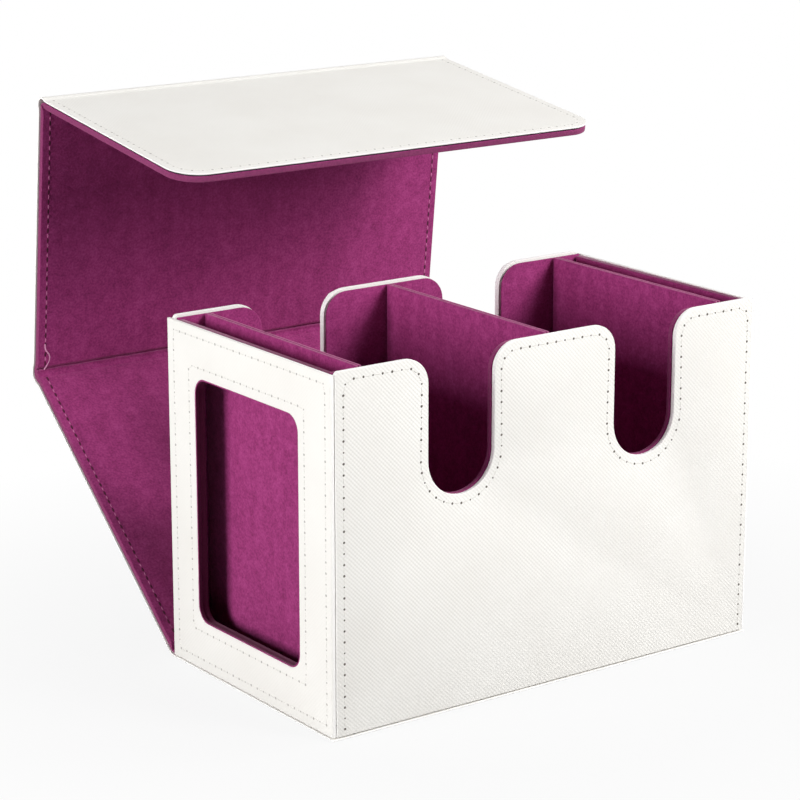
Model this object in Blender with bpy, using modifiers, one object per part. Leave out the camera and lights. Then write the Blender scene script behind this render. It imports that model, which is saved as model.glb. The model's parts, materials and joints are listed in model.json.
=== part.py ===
"""Double deck box: a suede lined tray with two deck bays, two display slots and a folding cover.

Metres, +Z up. X runs along the box, the front faces -Y, and the origin is the centre of the
underside. The pose is the photographed one, with the cover standing open behind the tray.
"""
import math

import bmesh
import bpy
from mathutils import Matrix, Vector

# Outside of the tray
tray_length = 0.1535
tray_depth = 0.0836
tray_height = 0.1050

# Layers of the tray walls and base, outside to inside, with the glue line between them
layer_gap = 0.0003
wall_skin = 0.0007
wall_board = 0.0015
wall_lining = 0.0006
skin_corner = 0.0025

# Turned edges: how far a wrapped rim covers the board, and how far the lining stops below the rim
rim_cover = 0.0010
long_lining_drop = 0.0006
end_lining_drop = 0.0002

# Finger notches in the front and back walls, a little outside the middle of each deck bay
notch_outset = 0.0008
notch_width = 0.0222
notch_depth = 0.0406
notch_shoulder = 0.0075

# Windows in the end walls
window_width = 0.0530
window_height = 0.0740
window_centre_z = 0.0530
window_corner = 0.0050

# Fixed dividers, and the display slot between an outer divider and its end wall
divider_suede = 0.0005
divider_board = 0.0005
divider_board_drop = 0.0010
slot_width = 0.0071

# Layers of the cover panels, outside to inside
cover_skin = 0.0006
cover_board = 0.0009
cover_lining = 0.0005
cover_rim = 0.0010

# Cover pose in the photo, in degrees above the table and turning over the box
rear_angle = 40.8
top_angle = 96.2
flap_angle = 188.6

# Closed cover: how far the top rises forward, and what the cover keeps clear of the tray
closed_rise = 1.6
lid_clearance = 0.0007
flap_clearance = 0.0023

# Folds: strip between the two creases of the top fold, rolled leather of the other two
strip_length = 0.0032
strip_thickness = 0.0014
roll_gap = 0.00035
roll_clearance = 0.00005

# Flap
flap_length = 0.0823
flap_corner = 0.0095

# Closure magnets
magnet_diameter = 0.0100
magnet_from_side = 0.0227
magnet_from_flap_edge = 0.0140

# Rounding of the wrapped rims
rim_round = 0.0003

# Facets of the round shapes
notch_steps = 20
corner_steps = 6
disc_steps = 32

# Clean-up of drawn outlines: weld distance, and the turn in radians that counts as flat
weld_distance = 0.000001
flat_limit = 0.001

wall = wall_skin + layer_gap + wall_board + layer_gap + wall_lining
board_face = wall_skin + layer_gap
lining_face = board_face + wall_board + layer_gap
half_length = tray_length / 2
half_depth = tray_depth / 2
inner_length = half_length - wall - layer_gap
inner_depth = half_depth - wall - layer_gap
wall_foot = wall_skin + layer_gap
board_rim = rim_cover + layer_gap
divider = divider_suede + layer_gap + divider_board + layer_gap + divider_suede
divider_offset = half_length - wall - slot_width - divider / 2
notch_offset = divider_offset / 2 + notch_outset
magnet_offset = half_length - magnet_from_side

cover = cover_skin + layer_gap + cover_board + layer_gap + cover_lining
half_cover = cover / 2
roll_radius = half_cover - roll_clearance
fold_gap = roll_radius + roll_gap
crease_gap = strip_thickness / 2 + layer_gap

parts = None
cutters = None


def clear_scene():
    for item in list(bpy.data.objects):
        bpy.data.objects.remove(item, do_unlink=True)


def collection(name):
    group = bpy.data.collections.new(name)
    bpy.context.scene.collection.children.link(group)
    return group


def material(name, colour, roughness, metallic=0.0):
    made = bpy.data.materials.new(name)
    made.use_nodes = True
    shader = made.node_tree.nodes["Principled BSDF"]
    shader.inputs["Base Color"].default_value = (*colour, 1)
    shader.inputs["Roughness"].default_value = roughness
    shader.inputs["Metallic"].default_value = metallic
    made.diffuse_color = (*colour, 1)
    return made


def arc(centre_u, centre_v, radius, start, stop, steps):
    points = []
    for step in range(steps + 1):
        angle = math.radians(start + (stop - start) * step / steps)
        points.append((centre_u + radius * math.cos(angle), centre_v + radius * math.sin(angle)))
    return points


def box_outline(u_min, u_max, v_min, v_max):
    return [(u_min, v_min), (u_max, v_min), (u_max, v_max), (u_min, v_max)]


def round_outline(u_min, u_max, v_min, v_max, radius):
    points = arc(u_max - radius, v_min + radius, radius, -90, 0, corner_steps)
    points += arc(u_max - radius, v_max - radius, radius, 0, 90, corner_steps)
    points += arc(u_min + radius, v_max - radius, radius, 90, 180, corner_steps)
    points += arc(u_min + radius, v_min + radius, radius, 180, 270, corner_steps)
    return points


def front_outline(half, foot, inset):
    """Outline of a long wall with its two finger notches, drawn in by inset at the rim."""
    top = tray_height
    reach = notch_width / 2
    low = top - notch_depth + reach
    points = [(-half, foot), (half, foot), (half, top - inset)]
    for centre in (notch_offset, -notch_offset):
        side = centre + reach + notch_shoulder
        points += arc(side, top - notch_shoulder, notch_shoulder - inset, 90, 180, corner_steps)
        points += arc(centre, low, reach + inset, 0, -180, notch_steps)
        side = centre - reach - notch_shoulder
        points += arc(side, top - notch_shoulder, notch_shoulder - inset, 0, 90, corner_steps)
    points.append((-half, top - inset))
    return points


def window_outline(grow):
    half = window_width / 2 + grow
    rise = window_height / 2 + grow
    low = window_centre_z - rise
    high = window_centre_z + rise
    return round_outline(-half, half, low, high, window_corner + grow)


def outline_mesh(name, outlines, low, high, plane):
    """Extrude flat outlines from low to high along the normal of plane xy, xz or yz."""
    curve = bpy.data.curves.new(name, "CURVE")
    curve.dimensions = "2D"
    curve.fill_mode = "BOTH"
    curve.extrude = (high - low) / 2
    for outline in outlines:
        spline = curve.splines.new("POLY")
        spline.points.add(len(outline) - 1)
        for point, (u, v) in zip(spline.points, outline):
            point.co = (u, v, 0, 1)
        spline.use_cyclic_u = True
    drawn = bpy.data.objects.new(name, curve)
    bpy.context.scene.collection.objects.link(drawn)
    graph = bpy.context.evaluated_depsgraph_get()
    mesh = bpy.data.meshes.new_from_object(drawn.evaluated_get(graph))
    bpy.data.objects.remove(drawn, do_unlink=True)
    bpy.data.curves.remove(curve)
    middle = (high + low) / 2
    if plane == "xy":
        turn = Matrix.Translation((0, 0, middle))
    elif plane == "xz":
        turn = Matrix.Translation((0, middle, 0)) @ Matrix.Rotation(math.pi / 2, 4, "X")
    else:
        axes = Matrix(((0, 0, 1, 0), (1, 0, 0, 0), (0, 1, 0, 0), (0, 0, 0, 1)))
        turn = Matrix.Translation((middle, 0, 0)) @ axes
    mesh.transform(turn)
    clean_mesh(mesh)
    return mesh


def clean_mesh(mesh):
    work = bmesh.new()
    work.from_mesh(mesh)
    bmesh.ops.remove_doubles(work, verts=work.verts, dist=weld_distance)
    bmesh.ops.dissolve_limit(work, angle_limit=flat_limit, verts=work.verts, edges=work.edges)
    bmesh.ops.recalc_face_normals(work, faces=work.faces)
    work.to_mesh(mesh)
    work.free()


def place(name, mesh, group, surface=None, pivot=None, angle=0):
    made = bpy.data.objects.new(name, mesh)
    mesh.name = name
    group.objects.link(made)
    if surface is not None:
        mesh.materials.clear()
        mesh.materials.append(surface)
    if pivot is not None:
        made.location = pivot
        made.rotation_euler = (math.radians(angle), 0, 0)
    return made


def cut(target, name, mesh, pivot=None, angle=0):
    cutter = place(name, mesh, cutters, pivot=pivot, angle=angle)
    cutter.hide_render = True
    cutter.display_type = "WIRE"
    modifier = target.modifiers.new(name, "BOOLEAN")
    modifier.operation = "DIFFERENCE"
    modifier.solver = "EXACT"
    modifier.object = cutter
    return cutter


def soften(target, width):
    modifier = target.modifiers.new("rounded_rim", "BEVEL")
    modifier.width = width
    modifier.segments = 1
    modifier.limit_method = "ANGLE"
    modifier.angle_limit = math.radians(50)


def box_mesh(name, low, high):
    """A box between two corners."""
    low = Vector(low)
    high = Vector(high)
    size = Matrix.Diagonal((*(high - low), 1))
    work = bmesh.new()
    bmesh.ops.create_cube(work, size=1, matrix=Matrix.Translation((low + high) / 2) @ size)
    mesh = bpy.data.meshes.new(name)
    work.to_mesh(mesh)
    work.free()
    return mesh


def round_mesh(name, centre, radius, half, turn):
    """A cylinder about centre; turn takes +Z to the cylinder's axis."""
    work = bmesh.new()
    bmesh.ops.create_cone(
        work, cap_ends=True, segments=disc_steps, radius1=radius, radius2=radius, depth=2 * half,
        matrix=Matrix.Translation(centre) @ turn)
    mesh = bpy.data.meshes.new(name)
    work.to_mesh(mesh)
    work.free()
    return mesh


along_x = Matrix.Rotation(math.pi / 2, 4, "Y")
along_y = Matrix.Rotation(math.pi / 2, 4, "X")
along_z = Matrix.Identity(4)


def build_base(skin, board, lining):
    outline = round_outline(-half_length, half_length, -half_depth, half_depth, skin_corner)
    place("base_leather", outline_mesh("base", [outline], 0, wall_skin, "xy"), parts, skin)
    corner = Vector((inner_length, inner_depth, 0))
    low = Vector((0, 0, board_face))
    high = Vector((0, 0, board_face + wall_board))
    place("base_board", box_mesh("base", low - corner, high + corner), parts, board)
    low = Vector((0, 0, lining_face))
    high = Vector((0, 0, wall))
    place("base_suede", box_mesh("base", low - corner, high + corner), parts, lining)


def magnet_height():
    """Height of the closed flap's magnets above the table."""
    drop = flap_length - magnet_from_flap_edge
    return closed_flap_top() - drop


def build_long_wall(name, side, skin, board, lining):
    """The front wall (side -1) or the back wall (side 1), with the leather turned over its rim."""
    def slab(half, foot, inset, outer, inner):
        first = side * (half_depth - outer)
        second = side * (half_depth - inner)
        outline = front_outline(half, foot, inset)
        return outline_mesh(name, [outline], min(first, second), max(first, second), "xz")

    board_back = board_face + wall_board
    mesh = slab(half_length, wall_foot, 0, 0, board_back)
    sheet = place(name + "_leather", mesh, parts, skin)
    mesh = slab(half_length + wall, wall_foot - wall, rim_cover, wall_skin, board_back + wall)
    cut(sheet, name + "_board_pocket", mesh)
    half = half_length - board_face
    reach = half + wall
    edges = (side * (half_depth - wall_skin), side * (half_depth - board_back - wall))
    for end, low, high in (("right", half, reach), ("left", -reach, -half)):
        corner = Vector((high, max(edges), tray_height + wall))
        mesh = box_mesh("end", (low, min(edges), -wall), corner)
        cut(sheet, name + "_rim_" + end + "_end", mesh)
    soften(sheet, rim_round)

    mesh = slab(half, wall_foot, board_rim, board_face, board_back)
    board_piece = place(name + "_board", mesh, parts, board)
    mesh = slab(half, wall_foot, long_lining_drop, lining_face, wall)
    place(name + "_suede", mesh, parts, lining)
    return board_piece


def add_front_magnets(board_piece, metal):
    middle = -half_depth + board_face + wall_board / 2
    for name, across in (("left", -magnet_offset), ("right", magnet_offset)):
        centre = (across, middle, magnet_height())
        seat = round_mesh(name, centre, magnet_diameter / 2 + layer_gap, wall, along_y)
        cut(board_piece, name + "_front_magnet_seat", seat)
        mesh = round_mesh(name, centre, magnet_diameter / 2, wall_board / 2, along_y)
        place(name + "_front_magnet", mesh, parts, metal)


def build_end(name, side, skin, board, lining):
    """An end wall with its window. side is -1 for the left end and 1 for the right."""
    def slab(outlines, outer, inner):
        first = side * (half_length - outer)
        second = side * (half_length - inner)
        return outline_mesh(name, outlines, min(first, second), max(first, second), "yz")

    top = tray_height
    reach = half_depth - board_face
    frame = [box_outline(-reach, reach, wall_foot, top), window_outline(0)]
    place(name + "_wall_leather", slab(frame, 0, wall_skin), parts, skin)
    reach = inner_depth
    frame = [box_outline(-reach, reach, wall_foot, top - board_rim), window_outline(board_rim)]
    place(name + "_wall_board", slab(frame, board_face, board_face + wall_board), parts, board)
    frame = [box_outline(-reach, reach, wall_foot, top - end_lining_drop), window_outline(0)]
    sheet = place(name + "_wall_suede", slab(frame, board_face, wall), parts, lining)
    wide = reach + wall
    pocket = [box_outline(-wide, wide, wall_foot - wall, top - rim_cover), window_outline(rim_cover)]
    cut(sheet, name + "_board_pocket", slab(pocket, board_face - wall, lining_face))
    soften(sheet, rim_round)


def build_divider(name, centre, board, lining):
    foot = wall + layer_gap
    outer = divider_board / 2 + layer_gap
    sides = (("_left_suede", -outer - divider_suede), ("_right_suede", outer))
    for tail, start in sides:
        low = (centre + start, -inner_depth, foot)
        high = (centre + start + divider_suede, inner_depth, tray_height)
        sheet = place(name + tail, box_mesh(name, low, high), parts, lining)
        soften(sheet, rim_round)
    low = (centre - divider_board / 2, -inner_depth, foot)
    high = (centre + divider_board / 2, inner_depth, tray_height - divider_board_drop)
    place(name + "_board", box_mesh(name, low, high), parts, board)


def along(angle):
    turn = math.radians(angle)
    return Vector((0, math.cos(turn), math.sin(turn)))


def closed_strip():
    """The strip's angle above the table when the cover is closed."""
    return 90 + (180 - closed_rise - 90) / 2


def rear_length():
    return tray_height + lid_clearance - strip_length * math.sin(math.radians(closed_strip()))


def top_length():
    bend = strip_length * abs(math.cos(math.radians(closed_strip())))
    reach = tray_depth + layer_gap + flap_clearance + cover - bend
    return reach / math.cos(math.radians(closed_rise))


def closed_flap_top():
    """Height of the flap's fold when the cover is closed."""
    return tray_height + lid_clearance + half_cover + top_length() * math.sin(math.radians(closed_rise))


def cover_pivots():
    """The four fold axes in the photographed pose: rear, lower top crease, upper top crease, flap."""
    rear = Vector((0, half_depth + layer_gap + half_cover, half_cover))
    lower = rear + along(rear_angle) * rear_length()
    upper = lower + along((rear_angle + top_angle) / 2) * strip_length
    flap = upper + along(top_angle) * top_length()
    return rear, lower, upper, flap


def build_panel(name, pivot, angle, start, stop, corner, skin, board, lining):
    """A cover panel in its fold's own frame: local Y runs along it and local +Z is the suede side."""
    def sheet_mesh(inset, low, high):
        half = half_length - inset
        first = start + inset
        last = stop - inset
        if not corner:
            return box_mesh(name, (-half, first, low), (half, last, high))
        radius = corner - inset
        points = [(-half, first), (half, first)]
        points += arc(half - radius, last - radius, radius, 0, 90, corner_steps * 2)
        points += arc(radius - half, last - radius, radius, 90, 180, corner_steps * 2)
        return outline_mesh(name, [points], low, high, "xy")

    mesh = sheet_mesh(0, -half_cover, cover_skin - half_cover)
    place(name + "_leather", mesh, parts, skin, pivot, angle)
    low = cover_skin + layer_gap - half_cover
    mesh = sheet_mesh(cover_rim + layer_gap, low, low + cover_board)
    board_piece = place(name + "_board", mesh, parts, board, pivot, angle)
    sheet = place(name + "_suede", sheet_mesh(0, low, half_cover), parts, lining, pivot, angle)
    mesh = sheet_mesh(cover_rim, low - cover, half_cover - cover_lining)
    cut(sheet, name + "_board_pocket", mesh, pivot, angle)
    soften(sheet, rim_round)
    return board_piece, low


def build_cover(skin, board, lining, metal):
    rear, lower, upper, flap = cover_pivots()
    stop = rear_length() - crease_gap
    build_panel("rear_panel", rear, rear_angle, fold_gap, stop, 0, skin, board, lining)
    stop = top_length() - fold_gap
    build_panel("top_panel", upper, top_angle, crease_gap, stop, 0, skin, board, lining)
    board_piece, low = build_panel(
        "flap", flap, flap_angle, fold_gap, flap_length, flap_corner, skin, board, lining)

    line = flap_length - magnet_from_flap_edge
    for name, across in (("left", -magnet_offset), ("right", magnet_offset)):
        centre = (across, line, low + cover_board / 2)
        seat = round_mesh(name, centre, magnet_diameter / 2 + layer_gap, cover, along_z)
        cut(board_piece, name + "_flap_magnet_seat", seat, flap, flap_angle)
        mesh = round_mesh(name, centre, magnet_diameter / 2, cover_board / 2, along_z)
        place(name + "_flap_magnet", mesh, parts, metal, flap, flap_angle)

    mesh = round_mesh("roll", (0, 0, 0), roll_radius, half_length, along_x)
    place("rear_fold_leather", mesh, parts, skin, rear, rear_angle)
    mesh = round_mesh("roll", (0, 0, 0), roll_radius, half_length, along_x)
    place("flap_fold_leather", mesh, parts, skin, flap, flap_angle)
    radius = strip_thickness / 2
    outline = arc(0, 0, radius, 90, 270, corner_steps) + arc(strip_length, 0, radius, -90, 90, corner_steps)
    mesh = outline_mesh("strip", [outline], -half_length, half_length, "yz")
    middle = (rear_angle + top_angle) / 2
    place("top_fold_leather", mesh, parts, skin, lower, middle)


def build():
    global parts, cutters
    clear_scene()
    parts = collection("double_deck_box")
    cutters = collection("cutters")
    cutters.hide_render = True
    skin = material("white_leather", (0.78, 0.75, 0.70), 0.55)
    lining = material("purple_suede", (0.22, 0.03, 0.12), 0.95)
    board = material("grey_board", (0.32, 0.30, 0.27), 0.90)
    metal = material("magnet_nickel", (0.60, 0.60, 0.60), 0.30, 1.0)
    build_base(skin, board, lining)
    board_piece = build_long_wall("front_wall", -1, skin, board, lining)
    add_front_magnets(board_piece, metal)
    build_long_wall("back_wall", 1, skin, board, lining)
    build_end("left", -1, skin, board, lining)
    build_end("right", 1, skin, board, lining)
    build_divider("left_divider", -divider_offset, board, lining)
    build_divider("centre_divider", 0, board, lining)
    build_divider("right_divider", divider_offset, board, lining)
    build_cover(skin, board, lining, metal)


build()
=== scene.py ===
"""Double deck box in white twill leather and purple suede, standing with its cover open."""
import json
import math

import bmesh
import bpy
import numpy as np
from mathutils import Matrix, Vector


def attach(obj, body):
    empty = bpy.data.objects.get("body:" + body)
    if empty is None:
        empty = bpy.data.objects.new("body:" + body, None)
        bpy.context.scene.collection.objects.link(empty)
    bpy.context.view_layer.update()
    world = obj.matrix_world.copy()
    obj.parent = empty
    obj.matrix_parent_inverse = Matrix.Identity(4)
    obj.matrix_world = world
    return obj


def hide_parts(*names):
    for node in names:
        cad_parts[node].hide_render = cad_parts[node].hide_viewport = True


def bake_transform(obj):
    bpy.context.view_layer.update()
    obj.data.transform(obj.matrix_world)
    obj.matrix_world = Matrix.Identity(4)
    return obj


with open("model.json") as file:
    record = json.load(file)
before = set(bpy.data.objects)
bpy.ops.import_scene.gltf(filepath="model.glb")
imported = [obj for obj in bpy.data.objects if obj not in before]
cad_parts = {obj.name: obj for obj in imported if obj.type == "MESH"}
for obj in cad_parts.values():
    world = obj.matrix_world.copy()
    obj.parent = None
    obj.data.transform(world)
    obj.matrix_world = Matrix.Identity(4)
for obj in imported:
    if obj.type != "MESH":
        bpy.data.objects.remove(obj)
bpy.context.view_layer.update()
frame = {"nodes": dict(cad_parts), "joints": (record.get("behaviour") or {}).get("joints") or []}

# All lengths are in metres. Tray: its outside, its walls' thickness and the gaps between pieces
half_length = 0.07675
half_depth = 0.0418
tray_height = 0.1050
wall = 0.0034
foot = 0.00095
floor_low = 0.0027
slot_gap = 0.0003
glue_line = 0.0004
inner_half_depth = half_depth - wall - slot_gap

# Long walls: leather as wide as rim turned over the top, a gap where the board's edge is painted
# near black as shade, lining.
# A rise lifts a rim over tray_height, a drop lowers it, and soft is the width of a softened rim
front_rim = 0.0014
back_rim = 0.0020
rim_gap = {"front": 0.0005, "back": 0.0008}
front_rise = 0.0003
back_rise = 0.0004
long_wall_inset = 0.00125
long_wall_corner = 0.0014
lid_round = 0.0009
lid_round_reach = 0.0010
lining_drop = 0.0006
board_recess = 0.0009
board_overlap = 0.0001
leather_soft = 0.0002
lining_soft = 0.00025

# End walls. Ribs is the depth of the leather's twill as a share of the front's
end_leather = 0.0010
end_drop = 0.0005
end_front_gap = 0.0003
end_lining_drop = 0.0002
end_lining_gap = 0.0002
end_lining_soft = 0.0003
corner_round = 0.00085
end_ribs = 0.45

# Finger notches and windows, with the shifts along the wall that the photo shows
notch_centre = 0.0334
notch_reach = 0.0115
notch_depth = 0.0412
front_notch_shift = 0.0005
back_notch_shift = 0.00125
notch_shoulder = 0.0075
round_share = 0.995
window_half_width = 0.0265
window_half_height = 0.0370
window_centre = 0.05275
window_shift = 0.00105
window_corner = 0.0050
window_lining_grow = -0.0002
binding_width = 0.0004
binding_fit = 0.00002
binding_behind = 0.0001
binding_sunk = 0.00012

# Dividers: two suede faces on a board, each with cut lines for its shading
divider_centres = {"left_divider": -0.0652, "centre_divider": 0.0, "right_divider": 0.0652}
divider_face = 0.0010
divider_core = 0.00004
divider_soft = 0.0004
divider_cuts = [index * 0.008 for index in range(-4, 5)]

# Cover: the line through its hinges, and the flap beyond the last of them
cover_joints = ("rear_fold", "lower_crease", "upper_crease", "flap_fold")
fold_radii = (0.0022, 0.0016, 0.0016, 0.0013)
line_step = 0.0001
flap_angle = math.radians(188.3)
flap_length = 0.0823
flap_corner = 0.0095

# Heights of the cover's layers over that line, and how far each stays inside the cover's edge
cover_out = -0.0013
cover_leather_in = -0.0008
cover_suede_out = -0.0003
cover_in = 0.0015
cover_ribs = 0.4
cover_leather_soft = 0.00018
lining_inset = 0.0002
cover_board_inset = 0.0006
cover_board_overlap = 0.00005

# How far the bending reaches from each fold, and how far boards, seams and suede start from it
bend_reach = (0.0022, 0.0012, 0.0012, 0.0022)
rear_board_gap = 0.004
crease_board_gap = 0.0024
flap_board_gap = 0.0030
rear_seam_away = 0.060
top_seam_away = 0.045
rear_suede_start = 0.0018

# Shape of the folds: a bulge's height and width, a dent's depth and width, and for the dents in
# the crease first their place beside the upper crease
back_bulge = (0.0013, 0.0019)
flap_bulge = (0.0008, 0.0014)
fold_dent = (0.0013, 0.0013)
strip_dent = (0.0004, 0.0022)
crease_dents = ((0.0002, 0.0012, 0.0005), (-0.0006, -0.0003, 0.0003), (-0.0014, 0.0002, 0.0003))

# Cut lines across the cover, wide apart on the panels and close together near the folds
panel_pitch = 0.008
panel_margins = (0.006, 0.003)
fold_pitch = 0.0004
fold_reaches = (0.0048, 0.0049)
crease_pitch = 0.00015
crease_reaches = (0.0024, 0.0009)
least_pitch = 0.00012
end_margin = 0.0002
side_cuts = [index * 0.0085 for index in range(-8, 9)]

# Segments of each rounding
notch_segments = 14
shoulder_segments = 10
window_segments = 8
end_corner_segments = 6
long_corner_segments = 5
lid_segments = 4
flap_segments = 14
rim_segments = 3
sheet_rim_segments = 4

# Sewing: a suede stitch or hole has its reach along the row, across it and in height, and the
# white rows' holes take hole_sizes in turn, because those in the photo differ
stitch_pitch = 0.00318
stitch_length = 0.0024
thread_radius = 0.00020
hole_radius = 0.00037
hole_height = 0.00006
hole_sizes = (1.08, 0.72, 1.05, 1.0, 0.8, 1.0)
suede_stitch = (0.0007, 0.00026, 0.00018)
suede_hole = (0.0008, 0.00036, 0.00006)

# How far a stitch's middle lies below the surface or stands above it
sunk_thread = 0.00011
pressed_thread = 0.00009
raised_thread = 0.00006

# Sewing lines: their ends, and how far they lie inside an edge
sewing_low = 0.003
sewing_corner = 0.003
front_sewing = (-0.0729, 0.0738)
back_sewing = (-0.0735, 0.0735)
front_sewing_inset = 0.0026
back_sewing_inset = 0.0028
end_sewing_side = 0.0032
end_sewing_low = 0.0030
end_sewing_top = 0.0034
window_sewing_out = 0.0030
frame_corner = 0.0003
cover_sewing_side = 0.00275
flap_sewing_inset = 0.0026
rear_sewing_gaps = (0.006, 0.0012)
top_sewing_gaps = (0.0022, 0.003)
flap_sewing_gap = 0.003

# Loose thread that hangs by the left edge of the top panel's suede
loose_thread_radius = 0.00022
loose_thread = (
    (-0.0742, 0.1205, 0.0804), (-0.0741, 0.1204, 0.0788), (-0.0725, 0.1208, 0.0762),
    (-0.0725, 0.12108, 0.0750), (-0.0732, 0.12128, 0.0734), (-0.0743, 0.1214, 0.0719))

# Degrees up to which neighbouring faces are shaded as one, and from which a rim is softened
sheet_smooth = 35
thread_smooth = 60
rim_angle = 50

# How far cutters run past what they cut, and the least differences that count
overrun = 0.002
same_place = 1e-5
upright_slack = 1e-6
joint_at = {joint["name"]: Vector(joint["pos_m"]) for joint in frame["joints"]}


# Modelling helpers. Each sheet is modelled flat: u along X, v along Y and its thickness along Z
def deselect_all():
    if bpy.context.object is not None and bpy.context.object.mode != "OBJECT":
        bpy.ops.object.mode_set(mode="OBJECT")
    bpy.ops.object.select_all(action="DESELECT")


def activate(piece):
    deselect_all()
    piece.select_set(True)
    bpy.context.view_layer.objects.active = piece


def block(name, low, high):
    low = Vector(low)
    high = Vector(high)
    deselect_all()
    bpy.ops.mesh.primitive_cube_add(size=1, location=(low + high) / 2, scale=high - low)
    bpy.ops.object.transform_apply(location=True, rotation=True, scale=True)
    piece = bpy.context.object
    piece.name = name
    piece.data.name = name
    return piece


def apply_modifier(piece, kind, **settings):
    activate(piece)
    modifier = piece.modifiers.new(kind.lower(), kind)
    for key, value in settings.items():
        setattr(modifier, key, value)
    bpy.ops.object.modifier_apply(modifier=modifier.name)


def subtract(piece, cutter):
    apply_modifier(piece, "BOOLEAN", operation="DIFFERENCE", solver="EXACT", object=cutter)
    bpy.data.objects.remove(cutter, do_unlink=True)


def round_edges(piece, wanted, radius, segments):
    """Bevels the edges whose two ends make wanted(first, second) true."""
    activate(piece)
    bpy.ops.object.mode_set(mode="EDIT")
    bpy.ops.mesh.select_mode(type="EDGE")
    bpy.ops.mesh.select_all(action="DESELECT")
    work = bmesh.from_edit_mesh(piece.data)
    for edge in work.edges:
        edge.select_set(wanted(*(vertex.co for vertex in edge.verts)))
    bmesh.update_edit_mesh(piece.data)
    bpy.ops.mesh.bevel(offset=radius, segments=segments, affect="EDGES")
    bpy.ops.object.mode_set(mode="OBJECT")


def round_upright_edges(piece, wanted, radius, segments):
    """Bevels the edges that run through the sheet's thickness where wanted(u, v) is true."""
    def upright(first, second):
        return (first - second).xy.length < upright_slack and wanted(first.x, first.y)
    round_edges(piece, upright, radius, segments)


def soften_rims(piece, width, segments=rim_segments):
    apply_modifier(
        piece, "BEVEL", width=width, segments=segments, limit_method="ANGLE",
        angle_limit=math.radians(rim_angle), use_clamp_overlap=True)


def cut_across(piece, places, axis):
    """Adds a cut line across the sheet at each place along u (axis 0) or v (axis 1)."""
    activate(piece)
    bpy.ops.object.mode_set(mode="EDIT")
    normal = (1, 0, 0) if axis == 0 else (0, 1, 0)
    for place in places:
        bpy.ops.mesh.select_all(action="SELECT")
        point = (place, 0, 0) if axis == 0 else (0, place, 0)
        bpy.ops.mesh.bisect(plane_co=point, plane_no=normal)
    bpy.ops.object.mode_set(mode="OBJECT")


def trim(piece, place, keep_above):
    """Cuts the sheet off square at v = place and closes the cut."""
    activate(piece)
    bpy.ops.object.mode_set(mode="EDIT")
    bpy.ops.mesh.select_all(action="SELECT")
    bpy.ops.mesh.bisect(
        plane_co=(0, place, 0), plane_no=(0, 1, 0), use_fill=True,
        clear_inner=keep_above, clear_outer=not keep_above)
    bpy.ops.object.mode_set(mode="OBJECT")


def near(value, target):
    return abs(value - target) < same_place


def points_of(piece):
    values = np.empty(len(piece.data.vertices) * 3)
    piece.data.vertices.foreach_get("co", values)
    return values.reshape(-1, 3)


# Laying: flat places (u, v, h) to the frame, with h out of the tray's outer face
def lay_front(flat):
    return np.column_stack((flat[:, 0], -half_depth - flat[:, 2], flat[:, 1]))


def lay_back(flat):
    return np.column_stack((-flat[:, 0], half_depth + flat[:, 2], flat[:, 1]))


def lay_left(flat):
    return np.column_stack((-half_length - flat[:, 2], -flat[:, 0], flat[:, 1]))


def lay_right(flat):
    return np.column_stack((half_length + flat[:, 2], flat[:, 0], flat[:, 1]))


def lay_base(flat):
    return flat


def divider_lay(centre):
    def lay(flat):
        return np.column_stack((centre + flat[:, 2], flat[:, 0], flat[:, 1]))
    return lay


def build_cover_line():
    """The line through the hinges as a table of v, y, z and angle, and each fold's place on it.

    It starts below the tray's front edge, and v is the way along it. Each corner is an arc.
    """
    rear, lower, upper, flap = (joint_at[name] for name in cover_joints)
    tip = flap + Vector((0, math.cos(flap_angle), math.sin(flap_angle))) * flap_length
    corners = [Vector((0, -half_depth, rear.z)), rear, lower, upper, flap, tip]
    steps = []
    for start, stop in zip(corners, corners[1:]):
        run = stop - start
        steps.append((run.length, math.atan2(run.z, run.y) % (2 * math.pi)))
    lengths = []
    angles = []
    folds = []
    travelled = 0.0
    used = 0.0
    for index, (length, angle) in enumerate(steps):
        last = index == len(steps) - 1
        radius = 0 if last else fold_radii[index]
        turn = 0 if last else steps[index + 1][1] - angle
        tangent = radius * math.tan(turn / 2)
        straight = length - used - tangent
        lengths.append(straight)
        angles.append((angle, angle))
        travelled += straight
        if not last:
            lengths.append(radius * turn)
            angles.append((angle, angle + turn))
            folds.append(travelled + radius * turn / 2)
            travelled += radius * turn
        used = tangent
    table = [(0.0, corners[0].y, corners[0].z, angles[0][0])]
    for length, (start, stop) in zip(lengths, angles):
        count = max(2, int(length / line_step))
        step = length / count
        for number in range(count):
            v, y, z, _ = table[-1]
            middle = start + (stop - start) * (number + 0.5) / count
            end = start + (stop - start) * (number + 1) / count
            table.append((v + step, y + step * math.cos(middle), z + step * math.sin(middle), end))
    return np.array(table), folds


cover_line, fold_places = build_cover_line()
cover_end = cover_line[-1, 0]
rear_fold, lower_crease, upper_crease, flap_fold = fold_places
middle_strip = (lower_crease + upper_crease) / 2


def lay_cover(flat):
    v, y, z, angle = cover_line.T
    turn = np.interp(flat[:, 1], v, angle)
    ahead = flat[:, 1] - np.clip(flat[:, 1], 0, cover_end)
    along_y = np.interp(flat[:, 1], v, y) + ahead * np.cos(turn)
    along_z = np.interp(flat[:, 1], v, z) + ahead * np.sin(turn)
    out = flat[:, 2]
    return np.column_stack((
        flat[:, 0], along_y - out * np.sin(turn), along_z + out * np.cos(turn)))


def mark_cut_edges(piece):
    """Notes how far each face of the flat sheet turns away from its broad sides."""
    if "cut_edge" not in piece.data.attributes:
        cut_edge = piece.data.attributes.new("cut_edge", "FLOAT", "FACE")
        turned = [1 - abs(face.normal.z) for face in piece.data.polygons]
        cut_edge.data.foreach_set("value", turned)


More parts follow.
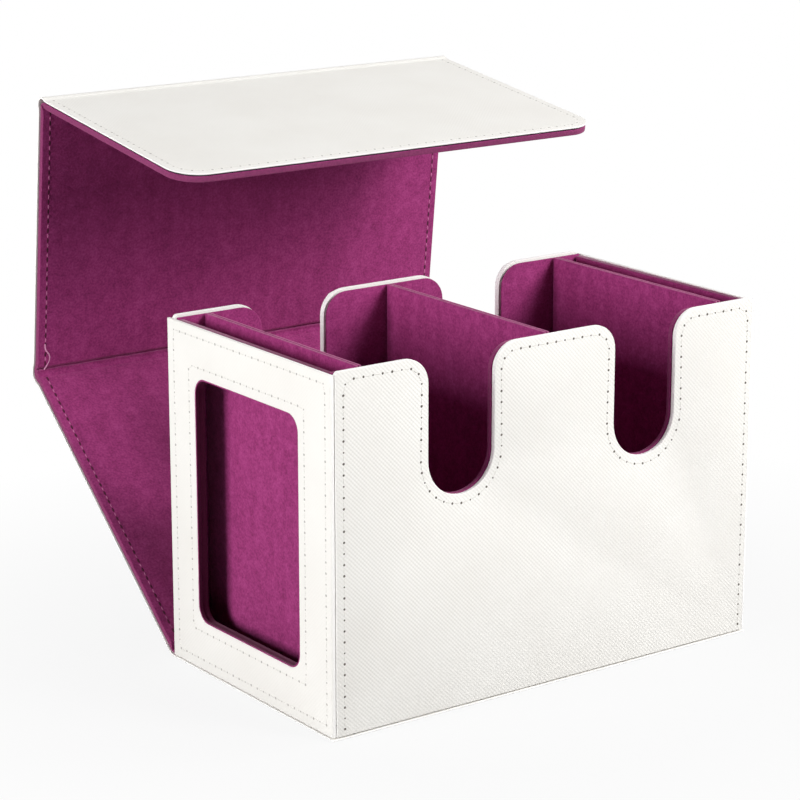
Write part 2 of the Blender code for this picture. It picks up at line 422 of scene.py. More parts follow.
def finish(piece, lay, surface, body, smooth=sheet_smooth, ribs=1.0):
    """Keeps the flat places for the materials, lays the piece in the frame and hands it over.
    """
    flat = points_of(piece)
    cloth = piece.data.attributes.new("cloth", "FLOAT_VECTOR", "POINT")
    cloth.data.foreach_set("vector", flat.astype(np.float32).ravel())
    rib_depth = piece.data.attributes.new("rib_depth", "FLOAT", "POINT")
    rib_depth.data.foreach_set("value", [ribs] * len(flat))
    mark_cut_edges(piece)
    piece.data.vertices.foreach_set("co", lay(flat).ravel())
    piece.data.update()
    activate(piece)
    bpy.ops.object.shade_smooth_by_angle(angle=math.radians(smooth))
    piece.data.materials.clear()
    piece.data.materials.append(surface)
    if isinstance(body, str):
        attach(piece, body)
    else:
        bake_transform(piece)
    return piece


# Materials. Patterns follow the flat places: steps and depths are in metres, noise scales per metre
twill_step = 0.001268
bead_step = 0.001268
twill_depth = 0.000022
suede_depth = 0.00012
plain_depth = 0.00005
twist_step = 0.00045
twist_depth = 0.00004


class Nodes:
    """Short calls for the nodes of one material."""

    def __init__(self, name):
        self.material = bpy.data.materials.new(name)
        self.material.use_nodes = True
        self.tree = self.material.node_tree
        self.shader = self.tree.nodes["Principled BSDF"]
        cloth = self.add("ShaderNodeAttribute", attribute_name="cloth")
        self.cloth = cloth.outputs["Vector"]

    def add(self, kind, inputs=None, **settings):
        node = self.tree.nodes.new(kind)
        for key, value in settings.items():
            setattr(node, key, value)
        for key, value in (inputs or {}).items():
            self.put(node.inputs[key], value)
        return node

    def put(self, socket, value):
        if isinstance(value, bpy.types.NodeSocket):
            self.tree.links.new(value, socket)
        else:
            socket.default_value = value

    def math(self, operation, first, second=0.0, third=0.0):
        """A math node; MULTIPLY_ADD gives first times second plus third."""
        node = self.add("ShaderNodeMath", {0: first, 1: second, 2: third}, operation=operation)
        return node.outputs[0]

    def along(self, direction):
        """How far each point of the flat cloth lies along a direction."""
        inputs = {0: self.cloth, 1: direction}
        return self.add("ShaderNodeVectorMath", inputs, operation="DOT_PRODUCT").outputs["Value"]

    def attribute(self, name):
        return self.add("ShaderNodeAttribute", attribute_name=name).outputs["Fac"]

    def mix(self, factor, first, second, blend="MIX"):
        node = self.add(
            "ShaderNodeMix", {"Factor": factor, 6: first, 7: second}, data_type="RGBA",
            blend_type=blend)
        return node.outputs[2]

    def with_cut_edge(self, broad, edge):
        """One colour on the sheet's broad sides and another on the faces that turn away."""
        share = self.ramp(self.attribute("cut_edge"), [(0.10, (0, 0, 0)), (0.75, (1, 1, 1))])
        return self.mix(share, broad, edge)

    def stretched(self, scale):
        node = self.add("ShaderNodeMapping", {"Vector": self.cloth, "Scale": scale})
        return node.outputs["Vector"]

    def noise(self, scale, detail=2.0, vector=None):
        vector = self.cloth if vector is None else vector
        inputs = {"Vector": vector, "Scale": scale, "Detail": detail}
        return self.add("ShaderNodeTexNoise", inputs).outputs["Fac"]

    def ramp(self, factor, stops):
        """The colour at factor, blended between stops that each have a place and a colour."""
        node = self.add("ShaderNodeValToRGB", {"Fac": factor})
        elements = node.color_ramp.elements
        for _ in stops[len(elements):]:
            elements.new(0.5)
        for element, (place, colour) in zip(elements, stops):
            element.position = place
            element.color = (*colour, 1)
        return node.outputs["Color"]

    def bump(self, height, distance, strength=1.0):
        inputs = {"Height": height, "Distance": distance, "Strength": strength}
        node = self.add("ShaderNodeBump", inputs)
        self.put(self.shader.inputs["Normal"], node.outputs["Normal"])

    def set(self, **inputs):
        for key, value in inputs.items():
            self.put(self.shader.inputs[key.replace("_", " ")], value)


def twill_leather():
    """White leather embossed with diagonal ribs of small beads, painted darker in the weave's
    hollows as shade and lighter on its cut edges as painted light.
    """
    make = Nodes("white_twill_leather")
    wander = make.math("MULTIPLY", make.noise(260, 2), 1.6)
    phase = make.math("MULTIPLY", make.along((1, 1, 0)), 2 * math.pi / twill_step)
    ribs = make.math("SINE", make.math("ADD", phase, wander))
    beads = make.math(
        "SINE", make.math("MULTIPLY", make.along((1, -1, 0)), 2 * math.pi / bead_step))
    weave = make.math("MULTIPLY", make.math("ADD", ribs, beads), make.attribute("rib_depth"))
    grain = make.math("MULTIPLY", make.noise(5200, 2), 0.5)
    make.bump(make.math("ADD", weave, grain), twill_depth, 0.9)
    # Painted shade: the leather's tone is a little darker where the weave is low.
    level = make.math("MULTIPLY_ADD", weave, 0.16, 0.55)
    weave_hollow_shade = make.ramp(level, [(0.2, (0.832, 0.815, 0.780)), (0.75, (0.855, 0.840, 0.805))])
    clouds = make.ramp(make.noise(38, 3), [(0.35, (0.97, 0.965, 0.96)), (0.65, (1.0, 1.0, 1.0))])
    # Painted light: the cut-edge tone makes the turned rims lighter than the broad sides.
    colour = make.with_cut_edge(
        make.mix(1.0, weave_hollow_shade, clouds, "MULTIPLY"), (0.97, 0.955, 0.94, 1))
    rough = make.math("MULTIPLY_ADD", make.noise(700, 2), 0.18, 0.46)
    make.set(Base_Color=colour, Roughness=rough)
    return make.material


def purple_suede(name, edge_tone):
    """Brushed suede, with a separate tone on the faces that turn away from the broad sides."""
    make = Nodes(name)
    nap = make.noise(1500, 4)
    patches = make.math("MULTIPLY", make.noise(350, 2), 0.30)
    brushed = make.math("MULTIPLY", make.noise(1.0, 3, make.stretched((210, 26, 210))), 0.20)
    level = make.math("ADD", make.math("MULTIPLY_ADD", nap, 0.60, patches), brushed)
    broad = make.ramp(level, [
        (0.36, (0.195, 0.018, 0.098)), (0.55, (0.300, 0.033, 0.158)),
        (0.74, (0.405, 0.056, 0.223))])
    edge = make.ramp(nap, [(0.35, [value * 0.8 for value in edge_tone]), (0.65, edge_tone)])
    fibre = make.math("MULTIPLY", make.noise(6000, 2), 0.5)
    make.bump(make.math("ADD", nap, fibre), suede_depth, 0.6)
    make.set(
        Base_Color=make.with_cut_edge(broad, edge), Roughness=0.95, Specular_IOR_Level=0.15,
        Sheen_Weight=0.35, Sheen_Roughness=0.45, Sheen_Tint=(0.80, 0.45, 0.62, 1))
    return make.material


def plain_finish(name, dark, light, roughness, scale):
    """A slightly uneven finish between two tones."""
    make = Nodes(name)
    tone = make.noise(scale, 3)
    make.set(Base_Color=make.ramp(tone, [(0.35, dark), (0.65, light)]), Roughness=roughness)
    make.bump(make.noise(scale * 2, 2), plain_depth, 0.5)
    return make.material


def thread_finish(name, dark, light):
    """Twisted thread, painted darker between its plies as shade."""
    make = Nodes(name)
    twist = make.math(
        "SINE", make.math("MULTIPLY", make.along((1, 1, 1.5)), 2 * math.pi / twist_step))
    level = make.math("MULTIPLY_ADD", twist, 0.5, 0.5)
    make.set(Base_Color=make.ramp(level, [(0.2, dark), (0.8, light)]), Roughness=0.7)
    make.bump(twist, twist_depth, 0.7)
    return make.material


white_leather = twill_leather()
# On the dividers' and the tray floor's softened rims this edge tone is lighter and greyer: partly
# worn, fuzzy nap, partly a painted highlight.
suede = purple_suede("purple_suede", (0.38, 0.10, 0.22))
cut_suede = purple_suede("purple_suede_cut_edge", (0.26, 0.045, 0.14))
# The window edge tone is painted shade on the turned faces of the end linings and window bindings.
window_shade_suede = purple_suede("purple_suede_window_painted_shade", (0.11, 0.012, 0.050))
# Near black: painted shade for the gaps where the boards show between leather and suede.
painted_shade_board = plain_finish(
    "painted_shade_board", (0.018, 0.010, 0.014), (0.030, 0.018, 0.025), 0.95, 900)
white_thread = thread_finish("white_thread", (0.66, 0.64, 0.60), (0.84, 0.82, 0.78))
purple_thread = thread_finish("purple_thread", (0.36, 0.06, 0.20), (0.62, 0.20, 0.40))
pale_thread = thread_finish("pale_thread", (0.60, 0.20, 0.40), (0.85, 0.42, 0.64))
# Needle holes are shallow discs at the surface, painted dark as the shade inside the holes: faint
# on the end walls and flap, near black on the front, back and cover sides, dark purple on the
# suede.
faint_hole_shade = plain_finish(
    "faint_needle_hole_shade", (0.40, 0.38, 0.36), (0.50, 0.48, 0.45), 0.95, 2000)
needle_hole = plain_finish("needle_hole", (0.10, 0.09, 0.08), (0.16, 0.14, 0.12), 0.95, 2000)
purple_hole_shade = plain_finish(
    "dark_needle_hole_shade", (0.05, 0.003, 0.020), (0.09, 0.006, 0.036), 0.95, 2000)
nickel = plain_finish("magnet_nickel", (0.55, 0.55, 0.55), (0.62, 0.62, 0.62), 0.3, 600)
nickel.node_tree.nodes["Principled BSDF"].inputs["Metallic"].default_value = 1.0


# Walls
def notched_sheet(name, half, back, front, shift, lowered, recess=0.0):
    """A long wall's sheet from height back to front, top lowered, notches grown by recess."""
    top = tray_height - lowered
    sheet = block(name, (-half, foot, back), (half, top, front))
    bottom = tray_height - notch_depth - recess
    reach = notch_reach + recess
    centres = (shift - notch_centre, shift + notch_centre)
    for centre in centres:
        low = (centre - reach, bottom, back - overrun)
        punch = block("punch", low, (centre + reach, top + notch_depth, front + overrun))
        round_upright_edges(
            punch, lambda u, v: near(v, bottom), reach * round_share, notch_segments)
        subtract(sheet, punch)
    mouths = [centre + side for centre in centres for side in (-reach, reach)]
    round_upright_edges(
        sheet, lambda u, v: near(v, top) and any(near(u, mouth) for mouth in mouths),
        notch_shoulder - lowered, shoulder_segments)
    return sheet


def window_plug(name, shift, grow, back, front, corner):
    """A block in the shape of the window, larger by grow on each side."""
    across = window_half_width + grow
    rise = window_half_height + grow
    plug = block(
        name, (shift - across, window_centre - rise, back),
        (shift + across, window_centre + rise, front))
    round_upright_edges(plug, lambda u, v: True, corner, window_segments)
    return plug


def window_sheet(name, low, high, top, shift, grow, back, front):
    """An end wall's sheet from height back to front, its window larger by grow on each side."""
    sheet = block(name, (low, foot, back), (high, top, front))
    subtract(sheet, window_plug(
        "punch", shift, grow, back - overrun, front + overrun, window_corner + grow))
    return sheet


def on_outer_rim(point):
    """True on a long wall's outer face near its top edge, where the closed cover's fold lies."""
    return near(point.z, 0) and point.y > tray_height - lid_round_reach


def build_long_wall(name, lay, rim, rise, shift):
    """Leather turned over the rim, the board's edge behind it painted near black as shade, and the
    lining.
    """
    half = half_length - long_wall_inset
    piece = notched_sheet(name + "_leather", half, -rim, 0, shift, -rise)
    round_upright_edges(
        piece, lambda u, v: near(v, tray_height + rise) and near(abs(u), half),
        long_wall_corner, long_corner_segments)
    if name == "back":
        round_edges(
            piece, lambda *ends: all(on_outer_rim(end) for end in ends), lid_round, lid_segments)
    soften_rims(piece, leather_soft)
    finish(piece, lay, white_leather, "tray")
    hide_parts(name + "_wall_leather")

    inside = half_length - end_leather - glue_line
    lining_front = -rim - rim_gap[name]
    piece = notched_sheet(
        name + "_board", inside, lining_front - board_overlap, board_overlap - rim, shift,
        board_recess, board_recess)
    finish(piece, lay, painted_shade_board, "tray")
    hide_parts(name + "_wall_board")

    piece = notched_sheet(name + "_lining", inside, -wall, lining_front, shift, lining_drop - rise)
    soften_rims(piece, lining_soft)
    finish(piece, lay, cut_suede, "tray")
    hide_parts(name + "_wall_suede")


def window_ring(name, shift):
    """A narrow ring that lines the window's cut from the inside of the leather's edge, its turned
    faces painted dark as the window's shade.
    """
    back = -end_leather - binding_behind
    front = -binding_sunk
    ring = window_plug(name, shift, -binding_fit, back, front, window_corner)
    subtract(ring, window_plug(
        "punch", shift, -binding_fit - binding_width, back - overrun, front + overrun,
        window_corner - binding_width))
    return ring


def build_end_wall(name, lay, forward):
    """An end wall whose front edge lies at u = half_depth times forward."""
    front = forward * (half_depth - end_front_gap)
    low, high = sorted((front, -forward * half_depth))
    top = tray_height - end_drop
    shift = -forward * window_shift
    piece = window_sheet(name + "_end_leather", low, high, top, shift, 0, -end_leather, 0)
    round_edges(
        piece, lambda *ends: all(near(end.x, front) and near(end.z, 0) for end in ends),
        corner_round, end_corner_segments)
    soften_rims(piece, leather_soft)
    finish(piece, lay, white_leather, "tray", ribs=end_ribs)
    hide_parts(name + "_wall_leather")

    piece = window_sheet(
        name + "_end_lining", -inner_half_depth, inner_half_depth, top - end_lining_drop, shift,
        window_lining_grow, -wall, -end_leather - end_lining_gap)
    soften_rims(piece, end_lining_soft)
    finish(piece, lay, window_shade_suede, "tray")
    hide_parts(name + "_wall_suede", name + "_wall_board")

    piece = window_ring(name + "_window_binding", shift)
    finish(piece, lay, window_shade_suede, "tray")


def build_walls():
    build_long_wall("front", lay_front, front_rim, front_rise, front_notch_shift)
    build_long_wall("back", lay_back, back_rim, back_rise, back_notch_shift)
    build_end_wall("left", lay_left, 1)
    build_end_wall("right", lay_right, -1)


def build_dividers():
    low = wall + slot_gap
    for name, centre in divider_centres.items():
        for side, start in (("left", -divider_core - divider_face), ("right", divider_core)):
            face = block(
                f"{name}_{side}_face", (-inner_half_depth, low, start),
                (inner_half_depth, tray_height, start + divider_face))
            cut_across(face, divider_cuts, 0)
            soften_rims(face, divider_soft, sheet_rim_segments)
            finish(face, divider_lay(centre), suede, "tray")
            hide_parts(f"{name}_{side}_suede")


def build_floor_of_tray():
    reach = half_length - wall - slot_gap
    pad = block(
        "tray_floor_lining", (-reach, -inner_half_depth, floor_low),
        (reach, inner_half_depth, wall))
    soften_rims(pad, leather_soft)
    finish(pad, lay_base, suede, "tray")
    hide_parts("base_suede")


# Cover: four stretches of leather and of suede, each bending at one fold
def fine_places(first, last):
    """Places for cut lines: close together near the folds, and wide apart on the panels."""
    places = list(np.arange(first + panel_margins[0], last - panel_margins[1], panel_pitch))
    for fold in fold_places:
        places += list(np.arange(fold - fold_reaches[0], fold + fold_reaches[1], fold_pitch))
    places += list(np.arange(
        upper_crease - crease_reaches[0], upper_crease + crease_reaches[1], crease_pitch))
    kept = []
    for place in sorted(places):
        inside = first + end_margin < place < last - end_margin
        if inside and (not kept or place - kept[-1] > least_pitch):
            kept.append(place)
    return kept


def cover_sheet(name, first, last, out, inner, inset, rim):
    """A stretch of the cover from v = first to last; None stands for the cover's own end."""
    start = 0.0 if first is None else first - overrun
    stop = cover_end - inset if last is None else last + overrun
    half = half_length - inset
    sheet = block(name, (-half, start, out), (half, stop, inner))
    if last is None:
        round_upright_edges(
            sheet, lambda u, v: near(v, stop), flap_corner - inset, flap_segments)
    soften_rims(sheet, rim, sheet_rim_segments)
    if first is not None:
        trim(sheet, first, True)
        start = first
    if last is not None:
        trim(sheet, last, False)
        stop = last
    cut_across(sheet, fine_places(start, stop), 1)
    cut_across(sheet, side_cuts, 0)
    mark_cut_edges(sheet)
    return sheet


def move_side(piece, share, place, distance, width):
    """Moves points outwards near a line across the cover, by the share that their level gives."""
    flat = points_of(piece)
    shares = np.clip(share(flat[:, 2]) / (cover_in - cover_suede_out), 0, 1)
    flat[:, 2] -= distance * shares * np.exp(-((flat[:, 1] - place) / width) ** 2)
    piece.data.vertices.foreach_set("co", flat.ravel())
    piece.data.update()


def press_suede(piece, place, depth, width):
    """Draws the suede side down along a line, or lifts it where depth is negative."""
    move_side(piece, lambda level: level - cover_suede_out, place, depth, width)


def push_out(piece, place, height, width):
    """Pushes the outer side outwards along a line, while the suede side stays."""
    move_side(piece, lambda level: cover_in - level, place, height, width)


def fold_span(place, reach):
    """Where the bending of the fold at v = place starts and stops, on the cover's middle line."""
    start, stop = lay_cover(np.array([(0, place - reach, 0), (0, place + reach, 0)]))
    return Vector(start), Vector(stop)


def build_cover_boards():
    """Boards between leather and suede, set back from the edges, painted near black so that the gap
    there shows as a line of shade.
    """
    spans = (
        ("rear_panel", rear_fold + rear_board_gap, lower_crease - crease_board_gap),
        ("top_panel", upper_crease + crease_board_gap, flap_fold - flap_board_gap),
        ("flap", flap_fold + flap_board_gap, cover_end - cover_board_inset))
    half = half_length - cover_board_inset
    for name, start, stop in spans:
        board = block(
            name + "_inner_board", (-half, start, cover_leather_in - cover_board_overlap),
            (half, stop, cover_suede_out + cover_board_overlap))
        if name == "flap":
            round_upright_edges(
                board, lambda u, v: near(v, stop), flap_corner - cover_board_inset,
                flap_segments)
        finish(board, lay_cover, painted_shade_board, name)
        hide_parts(name + "_board")


def build_cover():
    """Each stretch has the two bodies that it joins and the leather and suede that it replaces."""
    rear_seam = rear_fold + rear_seam_away
    top_seam = upper_crease + top_seam_away
    stretches = (
        ("rear", None, rear_seam, ("tray", "rear_panel"),
         ("base_leather", "rear_fold_leather", "rear_panel_leather"), ("rear_panel_suede",)),
        ("lower_crease", rear_seam, middle_strip, ("rear_panel", "top_fold"),
         ("top_fold_leather",), ()),
        ("upper_crease", middle_strip, top_seam, ("top_fold", "top_panel"),
         ("top_panel_leather",), ("top_panel_suede",)),
        ("flap", top_seam, None, ("top_panel", "flap"),
         ("flap_leather", "flap_fold_leather"), ("flap_suede",)))
    for index, (name, first, last, bodies, hidden_leather, hidden_suede) in enumerate(stretches):
        span = (*bodies, *fold_span(fold_places[index], bend_reach[index]))
        sheet = cover_sheet(
            name + "_cover_leather", first, last, cover_out, cover_leather_in, 0,
            cover_leather_soft)
        push_out(sheet, middle_strip, *back_bulge)
        push_out(sheet, flap_fold, *flap_bulge)
        finish(sheet, lay_cover, white_leather, span, ribs=cover_ribs)
        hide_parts(*hidden_leather)

        if first is None:
            first = rear_fold - rear_suede_start
        sheet = cover_sheet(
            name + "_cover_suede", first, last, cover_suede_out, cover_in, lining_inset,
            lining_soft)
        push_out(sheet, middle_strip, *back_bulge)
        press_suede(sheet, rear_fold, *fold_dent)
        press_suede(sheet, middle_strip, *strip_dent)
        for away, depth, width in crease_dents:
            press_suede(sheet, upper_crease + away, depth, width)
        press_suede(sheet, flap_fold, *fold_dent)
        finish(sheet, lay_cover, cut_suede, span)
        if hidden_suede:
            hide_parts(*hidden_suede)


# Sewing
def resample(route, pitch):
    """Places along a route, evenly spaced and about pitch apart."""
    route = np.array(route, float)
    steps = np.linalg.norm(np.diff(route, axis=0), axis=1)
    distance = np.concatenate(([0], np.cumsum(steps)))
    count = max(1, round(distance[-1] / pitch))
    knots = np.linspace(0, distance[-1], count + 1)
    return np.column_stack([np.interp(knots, distance, route[:, axis]) for axis in (0, 1)])


def arc(centre_u, centre_v, radius, start, stop, steps=10):
    turns = np.radians(np.linspace(start, stop, steps + 1))
    return [
        (centre_u + radius * math.cos(turn), centre_v + radius * math.sin(turn)) for turn in turns]


def notched_route(left, right, low, inset, rise, shift):
    """The sewing line of a long wall, from its bottom left corner up, over and down."""
    top = tray_height + rise - inset
    corner = top - sewing_corner
    route = [(left, low), (left, corner)]
    route += arc(left + sewing_corner, corner, sewing_corner, 180, 90, 4)
    for centre in (shift - notch_centre, shift + notch_centre):
        shoulder = tray_height - notch_shoulder
        round_part = notch_shoulder + rise - inset
        bottom = tray_height - notch_depth + notch_reach
        route += arc(centre - notch_reach - notch_shoulder, shoulder, round_part, 90, 0)
        route += arc(centre, bottom, notch_reach + inset, 180, 360, 24)
        route += arc(centre + notch_reach + notch_shoulder, shoulder, round_part, 180, 90)
    route += arc(right - sewing_corner, corner, sewing_corner, 90, 0, 4)
    return route + [(right, low)]


def frame_route(centre, half, low, high, radius=frame_corner):
    """A closed sewing line round a rectangle, with rounded corners."""
    route = arc(centre + half - radius, low + radius, radius, -90, 0, 6)
    route += arc(centre + half - radius, high - radius, radius, 0, 90, 6)
    route += arc(centre + radius - half, high - radius, radius, 90, 180, 6)
    route += arc(centre + radius - half, low + radius, radius, 180, 270, 6)
    return route + route[:1]


def bead(name, radius_u, radius_v, radius_h, segments, rings):
    """A flattened ball, the pattern of a stitch or of a needle hole."""
    deselect_all()
    bpy.ops.mesh.primitive_uv_sphere_add(segments=segments, ring_count=rings, radius=1)
    piece = bpy.context.object
    piece.name = name
    bpy.ops.transform.resize(value=(radius_u, radius_v, radius_h))
    bpy.ops.object.transform_apply(location=True, rotation=True, scale=True)
    return piece


def repeated(name, pattern, places, directions, sizes):
    """One mesh that holds a copy of the pattern at each place, turned along its direction."""
    work = bmesh.new()
    for number, (place, direction) in enumerate(zip(places, directions)):
        base = points_of(pattern) * sizes[number % len(sizes)]
        start = len(work.verts)
        work.from_mesh(pattern.data)
        work.verts.ensure_lookup_table()
        along = direction / np.linalg.norm(direction)
        for index, (u, v, h) in enumerate(base):
            work.verts[start + index].co = (
                place[0] + u * along[0] - v * along[1],
                place[1] + u * along[1] + v * along[0], place[2] + h)
    mesh = bpy.data.meshes.new(name)
    work.to_mesh(mesh)
    work.free()
    piece = bpy.data.objects.new(name, mesh)
    bpy.context.scene.collection.objects.link(piece)
    return piece


def sew(name, route, height, lay, body, thread, hole, outward=1, sunk=sunk_thread):
    """A row of stitches and needle holes along a route, on the surface at the given height."""
    white = thread is white_thread
    stitch = stitch_pattern if white else short_stitch_pattern
    puncture = hole_pattern if white else long_hole_pattern
    knots = resample(route, stitch_pitch)
    runs = np.diff(knots, axis=0)
    level = np.full((len(runs), 1), height - outward * sunk)
    places = np.hstack(((knots[1:] + knots[:-1]) / 2, level))
    row = repeated(name + "_stitches", stitch, places, runs, (1.0,))
    finish(row, lay, thread, body, thread_smooth)
    places = np.hstack((knots, np.full((len(knots), 1), height)))
    sizes = hole_sizes if white else (1.0,)
    row = repeated(name + "_needle_holes", puncture, places, np.vstack((runs, runs[-1:])), sizes)
    finish(row, lay, hole, body, thread_smooth)


stitch_pattern = bead("stitch", stitch_length / 2, thread_radius, thread_radius, 8, 6)
short_stitch_pattern = bead("short_stitch", *suede_stitch, 8, 6)
hole_pattern = bead("needle_hole", hole_radius, hole_radius, hole_height, 8, 4)
long_hole_pattern = bead("long_needle_hole", *suede_hole, 10, 4)
patterns = (stitch_pattern, short_stitch_pattern, hole_pattern, long_hole_pattern)


def sew_tray():
    route = notched_route(
        *front_sewing, sewing_low, front_sewing_inset, front_rise, front_notch_shift)
    sew("front_outside", route, 0, lay_front, "tray", white_thread, needle_hole)
    route = notched_route(*back_sewing, sewing_low, back_sewing_inset, back_rise, back_notch_shift)
    sew("back_outside", route, 0, lay_back, "tray", white_thread, needle_hole)
    for name, lay, forward in (("left", lay_left, 1), ("right", lay_right, -1)):
        route = frame_route(
            0, half_depth - end_sewing_side, foot + end_sewing_low, tray_height - end_sewing_top)
        sew(name + "_end", route, 0, lay, "tray", white_thread, faint_hole_shade)
        rise = window_half_height + window_sewing_out
        route = frame_route(
            -forward * window_shift, window_half_width + window_sewing_out,
            window_centre - rise, window_centre + rise)
        sew(name + "_window", route, 0, lay, "tray", white_thread, faint_hole_shade)


def sew_cover():
    side = half_length - cover_sewing_side
    panels = (
        ("rear_panel", rear_fold + rear_sewing_gaps[0], lower_crease - rear_sewing_gaps[1],
         pressed_thread),
        ("top_panel", upper_crease + top_sewing_gaps[0], flap_fold - top_sewing_gaps[1],
         -raised_thread))
    for body, start, stop, sunk in panels:
        for name, place in (("left", -side), ("right", side)):
            route = [(place, start), (place, stop)]
            sew(f"{body}_{name}_suede", route, cover_in, lay_cover, body, purple_thread,
                purple_hole_shade, sunk=sunk)
            sew(f"{body}_{name}_leather", route, cover_out, lay_cover, body, white_thread,
                needle_hole, -1)
    start = flap_fold + flap_sewing_gap
    stop = cover_end - flap_sewing_inset
    radius = flap_corner - flap_sewing_inset
    route = [(-side, start)] + arc(radius - side, stop - radius, radius, 180, 90)
    route += arc(side - radius, stop - radius, radius, 90, 0) + [(side, start)]
    sew("flap_suede", route, cover_in, lay_cover, "flap", purple_thread, purple_hole_shade,
        sunk=-raised_thread)
    sew("flap_leather", route, cover_out, lay_cover, "flap", white_thread, faint_hole_shade, -1)


def build_loose_thread():
    """A thread end that hangs from the left edge of the fold behind the tray."""
    curve = bpy.data.curves.new("loose_thread", "CURVE")
    curve.dimensions = "3D"
    curve.bevel_depth = loose_thread_radius
    curve.bevel_resolution = 2
    curve.use_fill_caps = True
    line = curve.splines.new("BEZIER")
    line.bezier_points.add(len(loose_thread) - 1)
    for point, place in zip(line.bezier_points, loose_thread):
        point.co = place
        point.handle_left_type = "AUTO"
        point.handle_right_type = "AUTO"
    piece = bpy.data.objects.new("loose_thread", curve)
    bpy.context.scene.collection.objects.link(piece)
    activate(piece)
    bpy.ops.object.convert(target="MESH")
    piece = bpy.context.object
    finish(piece, lay_base, pale_thread, "top_panel", thread_smooth)


def dress_inner_pieces():
    """Gives the solids that stay as they are, inside the walls and the flap, their finish: the
    boards the near-black painted shade, the magnets nickel.
    """
    for name, node in frame["nodes"].items():
        if name.endswith("_board"):
            node.data.materials.clear()
            node.data.materials.append(painted_shade_board)
        elif name.endswith("_magnet"):
            node.data.materials.clear()
            node.data.materials.append(nickel)


build_walls()
build_dividers()
build_floor_of_tray()
build_cover()
build_cover_boards()
sew_tray()
sew_cover()
build_loose_thread()
dress_inner_pieces()
for pattern in patterns:
    bpy.data.objects.remove(pattern, do_unlink=True)


# Camera, floor and light
camera_place = Vector((-0.48466, -0.63337, 0.29153))
camera_azimuth = math.radians(36.047)
camera_drop = math.radians(15.084)
camera_lens = 125.40
camera_sensor = 36
floor_size = 6
floor_height = -0.0002
floor_tone = (0.50, 0.50, 0.50, 1)
world_level = 0.02
light_aim = Vector((0, 0.03, 0.07))
light_distance = 1.5

# How white the floor shows, from near its middle to further away, with distances in metres
floor_white = {"From Min": 0.10, "From Max": 0.24, "To Min": 0.90, "To Max": 1.0}

# Each light's azimuth and elevation in degrees, width and height, and power in watts
lights = {
    "left_light": (-90, 14, (0.6, 0.6), 20.6),
    "key_light": (30, 36, (0.45, 0.45), 11.5),
    "right_light": (70, 38, (0.6, 0.6), 10.6),
    "low_light": (25, 21, (0.5, 0.4), 7.8),
    "back_light": (180, 55, (0.6, 0.6), 1.4),
}


def build_camera():
    camera = bpy.data.cameras.new("camera")
    camera.lens = camera_lens
    camera.sensor_width = camera_sensor
    camera.sensor_fit = "HORIZONTAL"
    holder = bpy.data.objects.new("camera", camera)
    holder.location = camera_place
    holder.rotation_euler = (math.pi / 2 - camera_drop, 0, -camera_azimuth)
    bpy.context.scene.collection.objects.link(holder)
    bpy.context.scene.camera = holder


def combined(tree, operation, first, second):
    """Two values combined by a math node; the second may be a plain number."""
    node = tree.nodes.new("ShaderNodeMath")
    node.operation = operation
    tree.links.new(first, node.inputs[0])
    if isinstance(second, bpy.types.NodeSocket):
        tree.links.new(second, node.inputs[1])
    else:
        node.inputs[1].default_value = second
    return node.outputs[0]


def white_for_the_eye(tree, lit, kind, surface_socket, amount):
    """Shows white to the camera and in reflections by amount, and stays as lit for other light."""
    path = tree.nodes.new("ShaderNodeLightPath").outputs
    white = tree.nodes.new(kind)
    white.inputs["Strength"].default_value = 1.0
    seen = combined(tree, "MAXIMUM", path["Is Camera Ray"], path["Is Glossy Ray"])
    seen = combined(tree, "MAXIMUM", seen, path["Is Transmission Ray"])
    share = combined(tree, "MULTIPLY", seen, amount)
    mix = tree.nodes.new("ShaderNodeMixShader")
    tree.links.new(share, mix.inputs[0])
    tree.links.new(lit, mix.inputs[1])
    tree.links.new(white.outputs[0], mix.inputs[2])
    tree.links.new(mix.outputs[0], surface_socket)


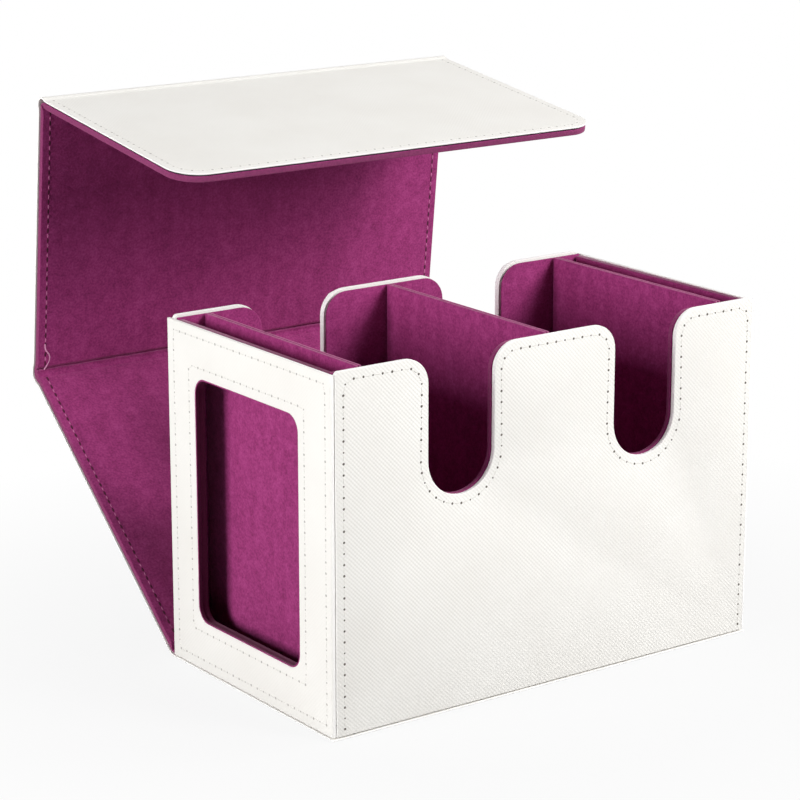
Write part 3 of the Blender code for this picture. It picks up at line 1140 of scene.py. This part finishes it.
def build_floor():
    deselect_all()
    bpy.ops.mesh.primitive_plane_add(size=floor_size, location=(0, 0, floor_height))
    floor = bpy.context.object
    floor.name = "floor"
    paper = bpy.data.materials.new("white_paper")
    paper.use_nodes = True
    tree = paper.node_tree
    shader = tree.nodes["Principled BSDF"]
    shader.inputs["Base Color"].default_value = floor_tone
    shader.inputs["Roughness"].default_value = 1.0
    shader.inputs["Specular IOR Level"].default_value = 0.0
    away = tree.nodes.new("ShaderNodeVectorMath")
    away.operation = "LENGTH"
    tree.links.new(tree.nodes.new("ShaderNodeTexCoord").outputs["Object"], away.inputs[0])
    spread = tree.nodes.new("ShaderNodeMapRange")
    tree.links.new(away.outputs["Value"], spread.inputs["Value"])
    for key, value in floor_white.items():
        spread.inputs[key].default_value = value
    white_for_the_eye(
        tree, shader.outputs[0], "ShaderNodeEmission",
        tree.nodes["Material Output"].inputs["Surface"], spread.outputs["Result"])
    floor.data.materials.append(paper)


def build_world():
    world = bpy.data.worlds.new("studio")
    bpy.context.scene.world = world
    world.use_nodes = True
    tree = world.node_tree
    sky = tree.nodes["Background"]
    sky.inputs["Color"].default_value = (1, 1, 1, 1)
    sky.inputs["Strength"].default_value = world_level
    white_for_the_eye(
        tree, sky.outputs[0], "ShaderNodeBackground",
        tree.nodes["World Output"].inputs["Surface"], 1.0)


def around(azimuth, elevation):
    """A light's place as seen from the object: azimuth 0 is in front of it, 90 to its right."""
    turn = math.radians(azimuth)
    rise = math.radians(elevation)
    run = Vector((
        math.sin(turn) * math.cos(rise), -math.cos(turn) * math.cos(rise), math.sin(rise)))
    return light_aim + run * light_distance


def build_lights():
    for name, (azimuth, elevation, size, power) in lights.items():
        light = bpy.data.lights.new(name, "AREA")
        light.shape = "RECTANGLE"
        light.size, light.size_y = size
        light.energy = power
        holder = bpy.data.objects.new(name, light)
        holder.location = around(azimuth, elevation)
        facing = light_aim - holder.location
        holder.rotation_euler = facing.to_track_quat("-Z", "Y").to_euler()
        bpy.context.scene.collection.objects.link(holder)


build_camera()
build_floor()
build_world()
build_lights()

bpy.context.scene.view_settings.view_transform = "Standard"
